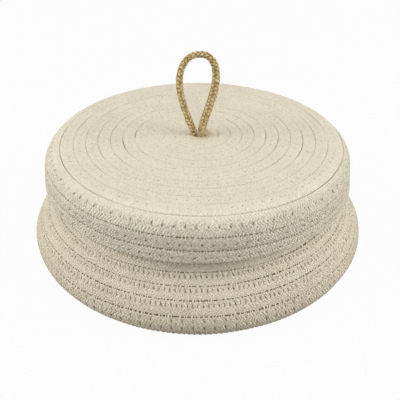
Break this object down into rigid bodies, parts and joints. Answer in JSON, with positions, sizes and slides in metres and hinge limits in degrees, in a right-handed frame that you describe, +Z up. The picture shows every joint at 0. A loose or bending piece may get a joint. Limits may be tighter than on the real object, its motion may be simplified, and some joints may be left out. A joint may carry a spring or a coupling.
{
  "type": "lidded cotton basket",
  "caption": "Round basket of coiled cotton rope, wide at the base and narrower at the neck, with a lift-off coiled lid that has a loop of jute cord as its handle.",
  "frame": {"origin": "on the table, on the axis that both ropes are wound round", "axes": "+Z up through the middle of the basket and the lid; +X to the right of the front, along the flat of the handle's loop; -Y towards the front"},
  "size_m": [0.2637, 0.2632, 0.1537],
  "materials": {
    "cotton_rope": "undyed cotton rope, matt",
    "jute_cord": "braided jute, rough and slightly hairy"
  },
  "bodies": {
    "basket": {"basket_coil": "cotton_rope"},
    "lid": {"lid_coil": "cotton_rope", "handle_wrapped_end": "jute_cord", "handle_straight_end": "jute_cord"},
    "loop": {"handle_loop": "jute_cord"}
  },
  "joints": [
    {"name": "lid_lift", "type": "slide", "parent": "basket", "child": "lid", "axis": [0, 0, 1], "range_m": [0, 0.12]},
    {"name": "loop_fold", "type": "hinge", "parent": "lid", "child": "loop", "pos_m": [0, 0, 0.0902], "axis": [1, 0, 0], "range_deg": [-85, 85]}
  ]
}
